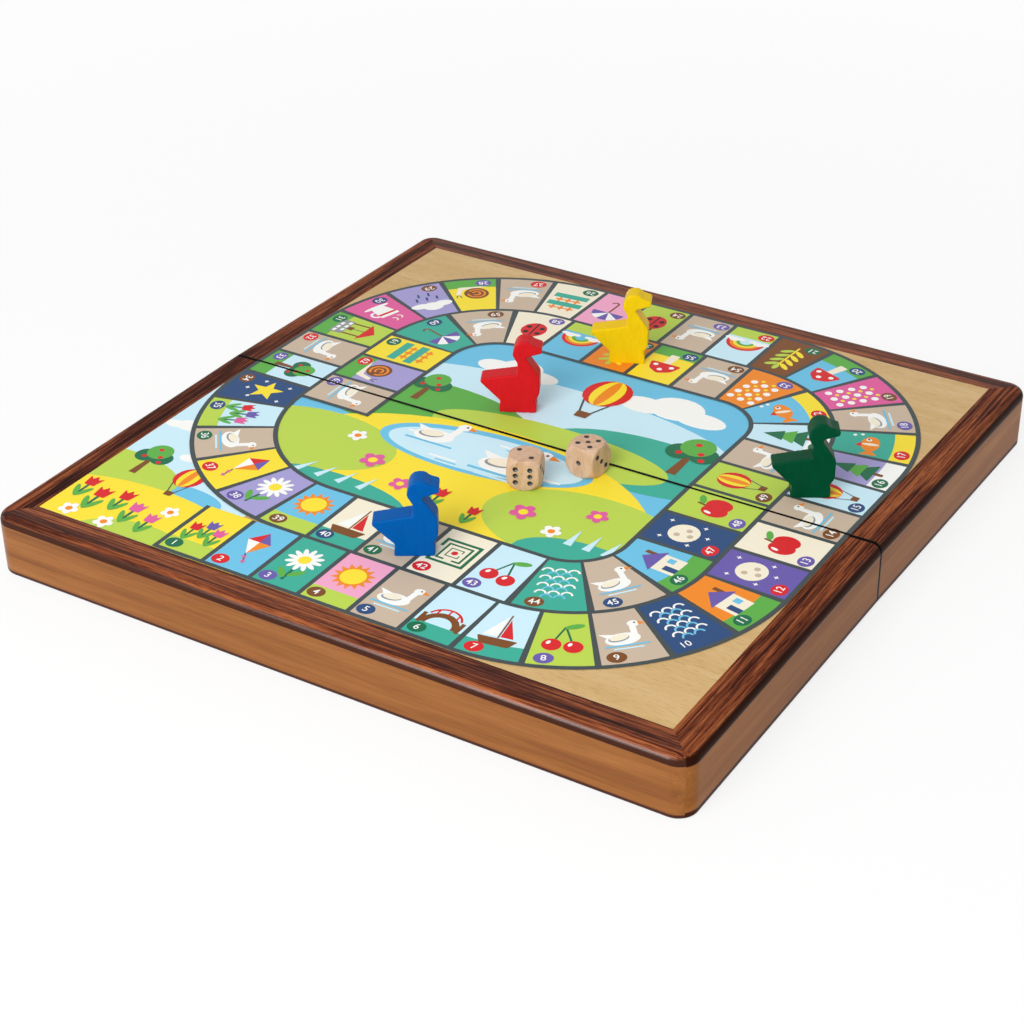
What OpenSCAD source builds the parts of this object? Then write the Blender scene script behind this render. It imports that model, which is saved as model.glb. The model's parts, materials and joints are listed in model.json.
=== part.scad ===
// Folding game of the goose board: a wooden games case in two trays, hinged at
// the middle, lying open with its printed faces up, with four goose pawns and
// two dice on it.
// X runs along the fold, +Y to the rear half and +Z up. The origin is on the
// table, under the middle of the fold. All sizes are in millimetres.

/* [Case] */
// Length of the case along the fold
board_w = 370; // [260:1:480]
// Depth of one half, from the fold to its outer face
half_d = 185; // [140:1:240]
// Height of one half, from its rim to the printed face
case_h = 32; // [24:0.5:45]
// Thickness of the three outer walls of a half
wall_t = 18; // [17:0.5:24]
// Thickness of the wall along the fold
fold_wall_t = 12; // [11:0.5:18]
// Radius of the upright corners of the case
corner_r = 9.5; // [5:0.5:15]
// Radius of the outer edge of the rim
rim_edge_r = 1.5; // [0.5:0.1:3]

/* [Top] */
// Width of the dark border strips
border_w = 16; // [10:0.5:17]
// Radius of the outer top edge of the border strips
top_edge_r = 4.5; // [2:0.1:4.5]
// Thickness of the top panel
panel_t = 4.5; // [4:0.1:6]
// Thickness of the printed sheet on the panel
sheet_t = 0.5; // [0.3:0.1:1]

/* [Fold] */
// Gap between the two fold walls when the halves lie in one plane
seam_gap = 0.3; // [0.2:0.05:1]
// Gap between the two rims when the case is shut
rim_gap = 0.2; // [0.1:0.05:0.6]

/* [Hinges] */
// Length of one hinge
hinge_len = 34; // [28:1:60]
// Distance from the side of the case to the middle of a hinge
hinge_inset = 70; // [45:1:100]
// Outer diameter of the hinge barrel
barrel_d = 4; // [3.6:0.1:5]
// Diameter of the hinge pin
pin_d = 1.8; // [1.4:0.1:2.2]
// Thickness of a hinge leaf
leaf_t = 1.2; // [1.1:0.1:1.5]
// Width of a hinge leaf from the pin's axis
leaf_w = 10; // [9:0.1:10.5]
// Distance from the pin's axis to the screws
screw_row = 6.3; // [5.5:0.1:6.5]
// Distance between the two screws of a leaf
screw_pitch = 18; // [12:0.5:20]
// Diameter of a screw's shank
screw_d = 2.2; // [1.8:0.1:2.4]
// Diameter of a screw's countersunk head
screw_head_d = 4.4; // [4:0.1:4.6]
// Length of a screw
screw_len = 10; // [6:0.5:14]

/* [Magnets] */
// Diameter of the closing magnets
magnet_d = 8; // [5:0.5:10]
// Thickness of the closing magnets
magnet_t = 3; // [2:0.5:5]
// Distance from the side of the case to the middle of a magnet
magnet_inset = 62; // [40:1:90]

/* [Goose pawns] */
// Height of a pawn
pawn_h = 39.2; // [38:0.1:46]
// Thickness of a pawn
pawn_t = 10.5; // [6:0.5:14]
// Length of a pawn's foot
foot_l = 18.8; // [17.5:0.1:21]
// Height of a pawn's foot
foot_h = 6.4; // [5:0.1:7]
// Reach of the tail past the foot
tail_l = 9.3; // [6:0.1:12]
// Height of the tail's square tip
tail_tip_h = 1.7; // [1.3:0.1:3]
// Height of the back where it meets the neck
back_h = 21.3; // [20:0.1:23]
// Fall of the back from the neck to the tail
back_fall = 3.2; // [1:0.1:5]
// Reach of the breast past the foot
breast_l = 1.6; // [1.2:0.1:2.4]
// Distance from the nape to the throat, along the foot
neck_w = 3.8; // [3.2:0.1:4.6]
// Length of the beak, from the throat
beak_l = 8.3; // [7:0.1:9]
// Height of the beak's square tip
beak_tip_h = 2.6; // [2:0.1:3.5]

/* [Dice] */
// Edge of a die
die_edge = 16; // [12:0.5:20]
// Diameter of the ball that rounds a die's corners
die_ball_d = 22.4; // [21:0.1:24]
// Diameter of a pip
pip_d = 2.6; // [1.6:0.1:3]
// Depth of a pip
pip_depth = 0.7; // [0.4:0.1:1]
// Distance from the middle of a face to its outer pips, along each side
pip_pitch = 3.5; // [2.8:0.1:3.8]

/* [Places of the pieces] */
// Red pawn: to the right of the middle, and back from the fold
red_place = [-25, 26]; // [-60:1:60]
// Green pawn: in from the right side, and back from the fold
green_place = [48.5, 25]; // [28:0.5:60]
// Yellow pawn: to the right of the middle, and in from the rear edge
yellow_place = [-5, 83]; // [-90:1:90]
// Blue pawn: to the right of the middle, and in from the front edge
blue_place = [5, 74]; // [-80:1:80]
// Left die: to the right of the middle, and forward from the fold
left_die_place = [17, 34.5]; // [10:0.5:40]
// Right die: to the right of the middle, and forward from the fold
right_die_place = [37, 10]; // [8.5:0.5:40]
// Turn of the red, green, yellow and blue pawns
pawn_turns = [27, 31, 25, 31]; // [0:1:60]
// Turn of the left and right die
die_turns = [21, -6]; // [-45:1:45]

/* [Clearances] */
// Round a hinge barrel in the fold walls
barrel_clear = 0.3; // [0.2:0.05:0.5]
// Between a knuckle and its neighbours
knuckle_gap = 0.2; // [0.1:0.05:0.4]
// Radial running clearance of the pin in the turning knuckle
pin_clear = 0.05; // [0.02:0.01:0.1]
// Round a hinge leaf in its recess
leaf_clear = 0.1; // [0.05:0.05:0.3]
// Radial clearance of the screws
screw_clear = 0.05; // [0.02:0.01:0.1]
// Round a magnet, and how deep its face lies below the rim
magnet_clear = 0.1; // [0.05:0.05:0.2]

/* [Hidden] */
$fn = 64;
cut = 1;                      // how far a cut runs past the face it opens
front = -1;
rear = 1;
left = -1;
right = 1;
border_t = panel_t + sheet_t; // the strips stand flush with the print
barrel_r = barrel_d / 2;
pin_r = pin_d / 2;
rim_z = rim_gap / 2;          // heights here are above the pin's axis
top_z = rim_z + case_h;
wall_top_z = top_z - border_t;
fold_face = seam_gap / 2;
axis_z = barrel_r;            // the barrels stand on the table
hinge_x = board_w / 2 - hinge_inset;
magnet_x = board_w / 2 - magnet_inset;
knuckle_len = (hinge_len - 2 * knuckle_gap) / 3;
screw_head_h = (screw_head_d - screw_d) / 2;
screw_point_h = screw_d;
slot_w = 0.6;
slot_depth = 0.5;

// Each half leans down from the barrels until its outer rim meets the table.
lean_up = rim_z + rim_edge_r;
lean_out = half_d - rim_edge_r;
rest_lean = acos((rim_edge_r - axis_z) / norm([lean_up, lean_out])) - atan2(lean_out, lean_up);

stain = "#9c6238";
rosewood = "#5b3024";
maple = "#d0ad74";
hardboard = "#b08a5c";
brass = "#c9a24a";
steel = "#b9bcc0";
beech = "#c8a078";

// Places

// A half at rest: its own Z = 0 is the pin's axis, and its fold is at Y = 0
module on_half(side) {
  translate([0, 0, axis_z]) rotate([-side * rest_lean, 0, 0]) children();
}

// The halves are mirror images, drawn as the rear one
module half(side) {
  on_half(side)
    if (side == front) mirror([0, 1, 0]) children();
    else children();
}

module along_x(length) {
  rotate([0, 90, 0]) translate([0, 0, -length / 2]) children();
}

// Case

// Section of an outer edge, out to a face at distance reach
module edge_section(reach) {
  difference() {
    translate([0, rim_z]) square([reach, case_h]);
    translate([reach - top_edge_r, top_z - top_edge_r]) difference() {
      square(top_edge_r + cut);
      circle(top_edge_r);
    }
    translate([reach - rim_edge_r, rim_z + rim_edge_r]) difference() {
      translate([0, -rim_edge_r - cut]) square(rim_edge_r + cut);
      circle(rim_edge_r);
    }
  }
}

// The outer form of one half, with its rounded corners and edges
module half_block() {
  straight = board_w - 2 * corner_r;
  rotate([90, 0, 90]) translate([0, 0, -straight / 2]) linear_extrude(straight) edge_section(half_d);
  for (hand = [left, right]) {
    mirror([hand == left ? 1 : 0, 0, 0]) {
      translate([0, half_d - corner_r, 0]) rotate([90, 0, 0])
        linear_extrude(half_d - corner_r) edge_section(board_w / 2);
      translate([board_w / 2 - corner_r, half_d - corner_r, 0])
        rotate_extrude(angle = 90) edge_section(corner_r);
    }
  }
}

// A strip along the outer edge, of width w, with mitred ends
module long_strip(w, from_z, to_z) {
  intersection() {
    translate([0, 0, from_z]) linear_extrude(to_z - from_z) polygon([
      [-board_w / 2, half_d],
      [-board_w / 2 + w, half_d - w],
      [board_w / 2 - w, half_d - w],
      [board_w / 2, half_d]
    ]);
    half_block();
  }
}

// A strip along one side, of width w, mitred at the outer corner and cut square at the fold
module side_strip(hand, w, from_z, to_z) {
  intersection() {
    translate([0, 0, from_z]) linear_extrude(to_z - from_z) polygon([
      [hand * board_w / 2, fold_face],
      [hand * board_w / 2, half_d],
      [hand * (board_w / 2 - w), half_d - w],
      [hand * (board_w / 2 - w), fold_face]
    ]);
    half_block();
  }
}

module border(side) {
  color(rosewood) half(side) long_strip(border_w, wall_top_z, top_z);
}

module side_border(side, hand) {
  color(rosewood) half(side) side_strip(hand, border_w, wall_top_z, top_z);
}

module long_wall(side) {
  color(stain) half(side) difference() {
    long_strip(wall_t, rim_z, wall_top_z);
    for (hand = [left, right])
      translate([hand * magnet_x, half_d - wall_t / 2, rim_z - cut])
        cylinder(d = magnet_d + 2 * magnet_clear, h = cut + magnet_clear + magnet_t);
  }
}

module side_wall(side, hand) {
  color(stain) half(side) side_strip(hand, wall_t, rim_z, wall_top_z);
}

// The wall along the fold, with a recess for each hinge leaf and barrel
module fold_wall(side) {
  inner_w = board_w - 2 * wall_t;
  recess_len = hinge_len + 2 * leaf_clear;
  color(stain) half(side) difference() {
    translate([-inner_w / 2, fold_face, rim_z]) cube([inner_w, fold_wall_t, wall_top_z - rim_z]);
    for (hand = [left, right]) translate([hand * hinge_x, 0, 0]) {
      translate([-recess_len / 2, 0, 0]) cube([recess_len, leaf_w + leaf_clear, rim_z + leaf_t]);
      along_x(recess_len) cylinder(r = barrel_r + barrel_clear, h = recess_len);
      for (end = [left, right])
        translate([end * screw_pitch / 2, screw_row, 0])
          cylinder(d = screw_d + 2 * screw_clear, h = rim_z + screw_len);
    }
  }
}

// The panel rests on the walls, inside the border strips
module panel_block(from_z, to_z) {
  panel_w = board_w - 2 * border_w;
  panel_d = half_d - border_w - fold_face;
  translate([-panel_w / 2, fold_face, from_z]) cube([panel_w, panel_d, to_z - from_z]);
}

module panel(side) {
  color(hardboard) half(side) panel_block(wall_top_z, top_z - sheet_t);
}

module game_sheet(side) {
  color(maple) half(side) panel_block(top_z - sheet_t, top_z);
}

// Hinges

// Middle of a knuckle along the hinge: 0 is the middle one
function knuckle_x(place) = place * (knuckle_len + knuckle_gap);

// One leaf with its knuckles. The front leaf has the two end knuckles, which
// grip the pin, and the rear leaf has the middle one, which turns on it.
module hinge_leaf(side, hand) {
  own = side == front ? [-1, 1] : [0];
  other = side == front ? [0] : [-1, 1];
  bore_r = side == front ? pin_r : pin_r + pin_clear;
  clear_len = knuckle_len + 2 * knuckle_gap;
  color(brass) half(side) translate([hand * hinge_x, 0, 0]) difference() {
    union() {
      translate([-hinge_len / 2, 0, rim_z]) cube([hinge_len, leaf_w, leaf_t]);
      for (place = own)
        translate([knuckle_x(place), 0, 0]) along_x(knuckle_len) cylinder(r = barrel_r, h = knuckle_len);
    }
    for (place = other)
      translate([knuckle_x(place), 0, 0]) along_x(clear_len)
        cylinder(r = barrel_r + knuckle_gap, h = clear_len);
    along_x(hinge_len + 2 * cut) cylinder(r = bore_r, h = hinge_len + 2 * cut);
    for (end = [left, right])
      translate([end * screw_pitch / 2, screw_row, rim_z]) screw_hole();
  }
}

// The countersunk hole in a leaf
module screw_hole() {
  translate([0, 0, -cut]) cylinder(d = screw_d + 2 * screw_clear, h = leaf_t + 2 * cut);
  cylinder(d1 = screw_head_d + 2 * screw_clear, d2 = screw_d + 2 * screw_clear, h = screw_head_h);
}

module hinge_pin(hand) {
  color(brass) on_half(front) translate([hand * hinge_x, 0, 0])
    along_x(hinge_len) cylinder(r = pin_r, h = hinge_len);
}

// A countersunk wood screw, head down, with a slot
module screw() {
  shank = screw_len - screw_point_h;
  difference() {
    union() {
      cylinder(d1 = screw_head_d, d2 = screw_d, h = screw_head_h);
      cylinder(d = screw_d, h = shank);
      translate([0, 0, shank]) cylinder(d1 = screw_d, d2 = 0, h = screw_point_h);
    }
    translate([-screw_head_d / 2, -slot_w / 2, -cut]) cube([screw_head_d, slot_w, cut + slot_depth]);
  }
}

module hinge_screws(side) {
  color(brass) half(side)
    for (hand = [left, right])
      for (end = [left, right])
        translate([hand * hinge_x + end * screw_pitch / 2, screw_row, rim_z]) screw();
}

// Magnets

module magnets(side) {
  color(steel) half(side)
    for (hand = [left, right])
      translate([hand * magnet_x, half_d - wall_t / 2, rim_z + magnet_clear])
        cylinder(d = magnet_d, h = magnet_t);
}

// Goose pawns

function unit(v) = v / norm(v);

function turned(v, angle) = [
  v.x * cos(angle) - v.y * sin(angle),
  v.x * sin(angle) + v.y * cos(angle)
];

// The arc of radius r that rounds the corner b between the lines to a and to c
function corner_arc(a, b, c, r, steps = 6) =
  let (
    to_a = unit(a - b),
    to_c = unit(c - b),
    half_angle = acos(to_a * to_c) / 2,
    centre = b + unit(to_a + to_c) * r / sin(half_angle),
    start = b + to_a * r / tan(half_angle) - centre,
    swing = (cross(to_a, to_c) > 0 ? -1 : 1) * (180 - 2 * half_angle)
  )
  [for (k = [0 : steps]) centre + turned(start, swing * k / steps)];

function rounded(corners) = [
  for (i = [0 : len(corners) - 1])
    let (
      a = corners[(i + len(corners) - 1) % len(corners)],
      b = corners[i],
      c = corners[(i + 1) % len(corners)]
    )
    each corner_arc([a.x, a.y], [b.x, b.y], [c.x, c.y], b.z)
];

// Smaller measures of the sawn goose, which looks to the right
throat_back = 5.6;   // from the front of the foot back to the throat
throat_drop = 8.5;   // from the crown down to the throat
nape_drop = 3.3;     // from the throat down to the nape
beak_drop = 3.4;     // from the crown down to the top of the beak's tip
brow_l = 4;          // from the throat forward to the brow
brow_drop = 2;       // from the crown down to the brow
forehead_l = 2.2;    // from the brow back to the crown
crown_back = 0.4;    // from the nape back to the end of the crown
head_back = 2.8;     // from the nape to the back of the head
head_drop = 7.2;     // from the crown down to the back of the head
shoulder_drop = 1.1; // from the back down to the shoulder
breast_rise = 4;     // from the foot up to the breast
toe_in = 0.9;        // notch between the foot and the breast
heel_in = 0.7;       // notch between the foot and the tail

throat_x = foot_l - throat_back;
throat_z = pawn_h - throat_drop;
nape_x = throat_x - neck_w;
brow_x = throat_x + brow_l;
beak_x = throat_x + beak_l;
beak_top = pawn_h - beak_drop;
breast_x = foot_l + breast_l;
tail_z = back_h - back_fall;

// Each corner's place along the foot, its height, and the radius that rounds it
goose_corners = [
  [0, 0, 0.8],
  [foot_l, 0, 0.8],
  [foot_l, foot_h - toe_in, 0.8],
  [foot_l - toe_in, foot_h, 0.5],
  [breast_x, foot_h + breast_rise, 5],
  [breast_x, back_h - shoulder_drop, 5],
  [throat_x, throat_z, 1],
  [beak_x, beak_top - beak_tip_h, 0.8],
  [beak_x, beak_top, 0.8],
  [brow_x, pawn_h - brow_drop, 1],
  [brow_x - forehead_l, pawn_h, 3.2],
  [nape_x - crown_back, pawn_h, 4.5],
  [nape_x - head_back, pawn_h - head_drop, 4],
  [nape_x, throat_z - nape_drop, 1.5],
  [nape_x, back_h, 0.8],
  [-tail_l, tail_z, 0.8],
  [-tail_l, tail_z - tail_tip_h, 1],
  [heel_in, foot_h, 0.8]
];
goose_outline = rounded(goose_corners);

module goose_pawn(side, at, turn) {
  on_half(side) translate([at.x, at.y, top_z]) rotate([0, 0, turn])
    translate([-foot_l / 2, pawn_t / 2, 0]) rotate([90, 0, 0]) linear_extrude(pawn_t) polygon(goose_outline);
}

// Dice

// Turns that bring a face's pips from the top to the faces with 1 to 6
face_turns = [[90, 0, 0], [180, 0, 0], [90, 0, 90], [90, 0, -90], [0, 0, 0], [-90, 0, 0]];
pip_ball_r = (pow(pip_d / 2, 2) + pow(pip_depth, 2)) / (2 * pip_depth);

function pips(count) = [
  if (count % 2 == 1) [0, 0],
  if (count > 1) each [[-1, 1], [1, -1]],
  if (count > 3) each [[1, 1], [-1, -1]],
  if (count > 5) each [[-1, 0], [1, 0]]
];

module die_body() {
  difference() {
    intersection() {
      cube(die_edge, center = true);
      sphere(d = die_ball_d);
    }
    for (count = [1 : 6])
      rotate(face_turns[count - 1])
        for (pip = pips(count))
          translate([pip.x * pip_pitch, pip.y * pip_pitch, die_edge / 2 + pip_ball_r - pip_depth])
            sphere(r = pip_ball_r);
  }
}

module die(at, turn, tumble) {
  color(beech) on_half(front) translate([at.x, at.y, top_z + die_edge / 2])
    rotate([0, 0, turn]) rotate(tumble) die_body();
}

// Sub-parts

module front_panel() { panel(front); }
module front_game_sheet() { game_sheet(front); }
module front_long_wall() { long_wall(front); }
module front_left_wall() { side_wall(front, left); }
module front_right_wall() { side_wall(front, right); }
module front_fold_wall() { fold_wall(front); }
module front_border() { border(front); }
module front_left_border() { side_border(front, left); }
module front_right_border() { side_border(front, right); }
module rear_panel() { panel(rear); }
module rear_game_sheet() { game_sheet(rear); }
module rear_long_wall() { long_wall(rear); }
module rear_left_wall() { side_wall(rear, left); }
module rear_right_wall() { side_wall(rear, right); }
module rear_fold_wall() { fold_wall(rear); }
module rear_border() { border(rear); }
module rear_left_border() { side_border(rear, left); }
module rear_right_border() { side_border(rear, right); }
module left_hinge_front_leaf() { hinge_leaf(front, left); }
module left_hinge_rear_leaf() { hinge_leaf(rear, left); }
module left_hinge_pin() { hinge_pin(left); }
module right_hinge_front_leaf() { hinge_leaf(front, right); }
module right_hinge_rear_leaf() { hinge_leaf(rear, right); }
module right_hinge_pin() { hinge_pin(right); }
module front_hinge_screws() { hinge_screws(front); }
module rear_hinge_screws() { hinge_screws(rear); }
module front_magnets() { magnets(front); }
module rear_magnets() { magnets(rear); }
module red_pawn() { color("#d81f26") goose_pawn(rear, red_place, pawn_turns[0]); }
module green_pawn() {
  color("#00573a") goose_pawn(rear, [board_w / 2 - green_place.x, green_place.y], pawn_turns[1]);
}
module yellow_pawn() {
  color("#eec915") goose_pawn(rear, [yellow_place.x, half_d - yellow_place.y], pawn_turns[2]);
}
module blue_pawn() {
  color("#0062b0") goose_pawn(front, [blue_place.x, blue_place.y - half_d], pawn_turns[3]);
}
module left_die() { die([left_die_place.x, -left_die_place.y], die_turns[0], [180, 0, 0]); }
module right_die() { die([right_die_place.x, -right_die_place.y], die_turns[1], [0, 0, 0]); }

front_panel();
front_game_sheet();
front_long_wall();
front_left_wall();
front_right_wall();
front_fold_wall();
front_border();
front_left_border();
front_right_border();
rear_panel();
rear_game_sheet();
rear_long_wall();
rear_left_wall();
rear_right_wall();
rear_fold_wall();
rear_border();
rear_left_border();
rear_right_border();
left_hinge_front_leaf();
left_hinge_rear_leaf();
left_hinge_pin();
right_hinge_front_leaf();
right_hinge_rear_leaf();
right_hinge_pin();
front_hinge_screws();
rear_hinge_screws();
front_magnets();
rear_magnets();
red_pawn();
yellow_pawn();
green_pawn();
blue_pawn();
left_die();
right_die();
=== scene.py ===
import json
import math

import bmesh
import bpy
from mathutils import Matrix, Vector


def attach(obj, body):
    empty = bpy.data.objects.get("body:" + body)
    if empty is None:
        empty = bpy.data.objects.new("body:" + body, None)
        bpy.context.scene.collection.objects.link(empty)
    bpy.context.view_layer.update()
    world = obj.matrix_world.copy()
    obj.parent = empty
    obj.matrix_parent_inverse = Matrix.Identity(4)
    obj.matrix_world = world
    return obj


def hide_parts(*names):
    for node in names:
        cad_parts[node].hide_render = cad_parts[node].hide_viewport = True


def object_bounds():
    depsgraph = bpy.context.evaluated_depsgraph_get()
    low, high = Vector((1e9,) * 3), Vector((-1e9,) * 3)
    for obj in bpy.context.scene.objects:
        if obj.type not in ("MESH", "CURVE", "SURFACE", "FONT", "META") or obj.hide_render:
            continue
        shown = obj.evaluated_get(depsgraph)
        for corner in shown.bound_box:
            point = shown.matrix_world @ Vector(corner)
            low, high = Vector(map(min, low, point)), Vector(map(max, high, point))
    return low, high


# Folding game of the goose board: the finishes of the case, its pawns and dice, and its print

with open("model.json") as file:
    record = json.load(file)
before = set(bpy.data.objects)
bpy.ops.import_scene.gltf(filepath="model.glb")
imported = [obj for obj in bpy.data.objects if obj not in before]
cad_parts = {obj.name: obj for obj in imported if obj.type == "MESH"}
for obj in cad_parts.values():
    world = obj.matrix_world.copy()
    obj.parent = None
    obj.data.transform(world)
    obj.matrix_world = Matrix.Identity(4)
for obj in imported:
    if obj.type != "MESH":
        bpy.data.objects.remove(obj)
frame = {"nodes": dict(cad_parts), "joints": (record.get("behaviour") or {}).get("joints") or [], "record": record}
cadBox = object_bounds()
nodes = frame["nodes"]
scene = bpy.context.scene
scene.view_settings.view_transform = "Standard"

mm = 0.001  # Blender works in metres, and the sizes below are in millimetres
front, rear = -1, 1
halves = {front: "front", rear: "rear"}

# Each half leans a little, from the hinge barrels at the fold down to its outer rim
foldAxis = Vector(frame["joints"][0]["pos_m"])
rearRim = next(mount for mount in frame["record"]["mounts"] if mount["name"] == "rear_rim")
lean = math.atan2(-rearRim["axis"][1], -rearRim["axis"][2])


def halfPlace(side):  # from a half's own frame, level at the pin's axis, to where it lies
    return Matrix.Translation(foldAxis) @ Matrix.Rotation(-side * lean, 4, "X")


def ownCorners(node, side):  # a node's lowest and highest corner in its half's own frame
    level = halfPlace(side).inverted()
    points = [level @ vertex.co for vertex in nodes[node].data.vertices]
    return [Vector(pick(p[k] for p in points) for k in range(3)) for pick in (min, max)]


def heightOf(node, side, corner):  # a node's foot (0) or top (1), as ownPlace measures it
    return ownCorners(node, side)[corner].z + foldAxis.z


# Camera

shot = dict(
    focalPixels=2271.1, framePixels=1024, sensor=36,
    azimuth=32.117, elevation=31.138, roll=-0.593,
    target=(23.25, -57.46, 31), distance=1062.7,
)


def makeCamera():
    azimuth, elevation, roll = (math.radians(shot[k]) for k in ("azimuth", "elevation", "roll"))
    data = bpy.data.cameras.new("camera")
    data.sensor_width = shot["sensor"]
    data.lens = shot["focalPixels"] / shot["framePixels"] * shot["sensor"]
    turn = Matrix.Rotation(azimuth, 4, "Z") @ Matrix.Rotation(math.pi / 2 - elevation, 4, "X")
    camera = bpy.data.objects.new("camera", data)
    camera.matrix_world = (
        Matrix.Translation(Vector(shot["target"]) * mm) @ turn
        @ Matrix.Translation((0, 0, shot["distance"] * mm)) @ Matrix.Rotation(roll, 4, "Z")
    )
    scene.collection.objects.link(camera)
    scene.camera = camera


makeCamera()
print("camera placed")


# Materials

def linear(hexColour):
    parts = [int(hexColour[k:k + 2], 16) / 255 for k in (1, 3, 5)]
    return [c / 12.92 if c <= 0.04045 else ((c + 0.055) / 1.055) ** 2.4 for c in parts] + [1]


def addNode(tree, kind, inputs=None, out=None, stops=(), **settings):
    # a node with its settings, links and colour stops: gives the node, or one of its outputs
    node = tree.nodes.new(kind)
    for name, value in settings.items():
        setattr(node, name, value)
    for socket, value in (inputs or {}).items():
        if isinstance(value, bpy.types.NodeSocket):
            tree.links.new(value, node.inputs[socket])
        else:
            node.inputs[socket].default_value = value
    for k, (place, colour) in enumerate(stops):
        elements = node.color_ramp.elements
        element = elements[k] if k < len(elements) else elements.new(place)
        element.position, element.color = place, linear(colour)
    return node if out is None else node.outputs[out]


def newMaterial(name, **surface):  # an empty material with its shader's constant values
    material = bpy.data.materials.new(name)
    material.use_nodes = True
    shader = material.node_tree.nodes["Principled BSDF"]
    for socket, value in surface.items():
        shader.inputs[socket.replace("_", " ")].default_value = value
    return material, material.node_tree, shader


def grainNoise(tree, along, length, width, detail=4, rough=0.55, warp=0.0):
    # noise drawn out along one axis: length and width in mm are one period along and across the grain
    scale = [1 / (width * mm)] * 3
    scale["XYZ".index(along)] = 1 / (length * mm)
    place = addNode(tree, "ShaderNodeTexCoord", out="Object")
    mapped = addNode(tree, "ShaderNodeMapping", {"Vector": place, "Scale": scale}, "Vector")
    look = {"Vector": mapped, "Scale": 1, "Detail": detail, "Roughness": rough, "Distortion": warp}
    return addNode(tree, "ShaderNodeTexNoise", look, "Fac")


def flecked(tree, colour, noise, share, *stops):
    # a colour with flecks over it, toned by a noise's values
    fleck = addNode(tree, "ShaderNodeValToRGB", {"Fac": noise}, "Color", stops)
    mixed = {"Factor": share, "A": colour, "B": fleck}
    return addNode(tree, "ShaderNodeMix", mixed, "Result", data_type="RGBA", blend_type="MULTIPLY")


def gathered(tree, colour, tone, *limits):
    # a tone over a colour, which grows from none to full as each value goes from one limit to the other
    share = 1
    for value, none, full in limits:
        span = {"Value": value, "From Min": none, "From Max": full}
        grown = addNode(tree, "ShaderNodeMapRange", span, "Result", interpolation_type="SMOOTHSTEP")
        share = addNode(tree, "ShaderNodeMath", {0: share, 1: grown}, 0, operation="MULTIPLY")
    mixed = {"Factor": share, "A": colour, "B": linear(tone)}
    return addNode(tree, "ShaderNodeMix", mixed, "Result", data_type="RGBA")


def ownPlace(tree):
    # distance from the middle, distance from the fold, and height over the table with the lean taken out
    place = addNode(tree, "ShaderNodeTexCoord", out="Object")
    parts = addNode(tree, "ShaderNodeSeparateXYZ", {"Vector": place}).outputs
    aside, away = (addNode(tree, "ShaderNodeMath", {0: parts[k]}, 0, operation="ABSOLUTE") for k in "XY")
    rise = {0: away, 1: math.sin(lean), 2: parts["Z"]}
    return aside, away, addNode(tree, "ShaderNodeMath", rise, 0, operation="MULTIPLY_ADD")


foldEdge = dict(  # painted shade of the fold's gap; in mm: from the fold, and in from the outer faces
    tone="#160d0a", reach=(1.35, 0.95), depth=(2.2, 1.2),
)


def foldDark(tree, colour, aside, away, height):
    # the arrises along the fold, dark with painted shade of the fold's gap
    faces = ((heightOf("front_border", front, 1), height), (cadBox[1][0], aside))
    under, inside = (
        addNode(tree, "ShaderNodeMath", {0: face, 1: value}, 0, operation="SUBTRACT")
        for face, value in faces
    )
    depth = addNode(tree, "ShaderNodeMath", {0: under, 1: inside}, 0, operation="MINIMUM")
    limits = [
        (value, *(limit * mm for limit in foldEdge[name]))
        for value, name in ((depth, "depth"), (away, "reach"))
    ]
    return gathered(tree, colour, foldEdge["tone"], *limits)


rosewoodLook = dict(
    stops=[
        (0.37, "#24100c"), (0.45, "#481e13"), (0.51, "#753c24"), (0.57, "#97522f"), (0.66, "#ae6a3d"),
    ],
    streak=(70, 1.5), drift=(230, 9), driftShare=0.4,
    pore=(8, 0.35), poreShare=0.7,  # wider than real pores, so that they show
    # by the strip's direction: its sheen, the tone of its rounded side, and the depths in mm where that
    # tone starts and is full. The dark side is part stain, part painted shade; the Y strips' darker, higher tone
    # and lower sheen are painted shade
    sheen=dict(X=0.07, Y=0.02), sideTone=dict(X="#3e2014", Y="#2a1006"),
    sideDepth=dict(X=(1.3, 2.7), Y=(0.5, 1.7)),
)


def rosewood(along):
    # lacquered rosewood strip: wavy dark and orange streaks on top, almost black along its rounded side (stain and
    # painted shade)
    look = rosewoodLook
    material, tree, shader = newMaterial(
        f"lacquered_rosewood_{along}", Roughness=0.24, Specular_IOR_Level=look["sheen"][along],
    )
    streak = grainNoise(tree, along, *look["streak"], detail=4, rough=0.6, warp=0.9)
    drift = grainNoise(tree, along, *look["drift"], detail=3, warp=0.5)
    both = {"Factor": look["driftShare"], "A": streak, "B": drift}
    figure = addNode(tree, "ShaderNodeMix", both, "Result")
    colour = addNode(tree, "ShaderNodeValToRGB", {"Fac": figure}, "Color", look["stops"])
    pore = grainNoise(tree, along, *look["pore"], detail=2)
    colour = flecked(tree, colour, pore, look["poreShare"], (0.34, "#5a4640"), (0.46, "#ffffff"))
    place, top = ownPlace(tree), heightOf("front_border", front, 1)
    depths = (top - depth * mm for depth in look["sideDepth"][along])
    # painted shade over a dark stain along the rounded side, deeper on the Y strips
    colour = gathered(tree, colour, look["sideTone"][along], (place[-1], *depths))
    # painted shade of the fold's gap along the fold
    tree.links.new(foldDark(tree, colour, *place), shader.inputs["Base Color"])
    pits = {"Strength": 0.12, "Distance": 0.2 * mm, "Height": pore}
    tree.links.new(addNode(tree, "ShaderNodeBump", pits, "Normal"), shader.inputs["Normal"])
    return material


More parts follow.
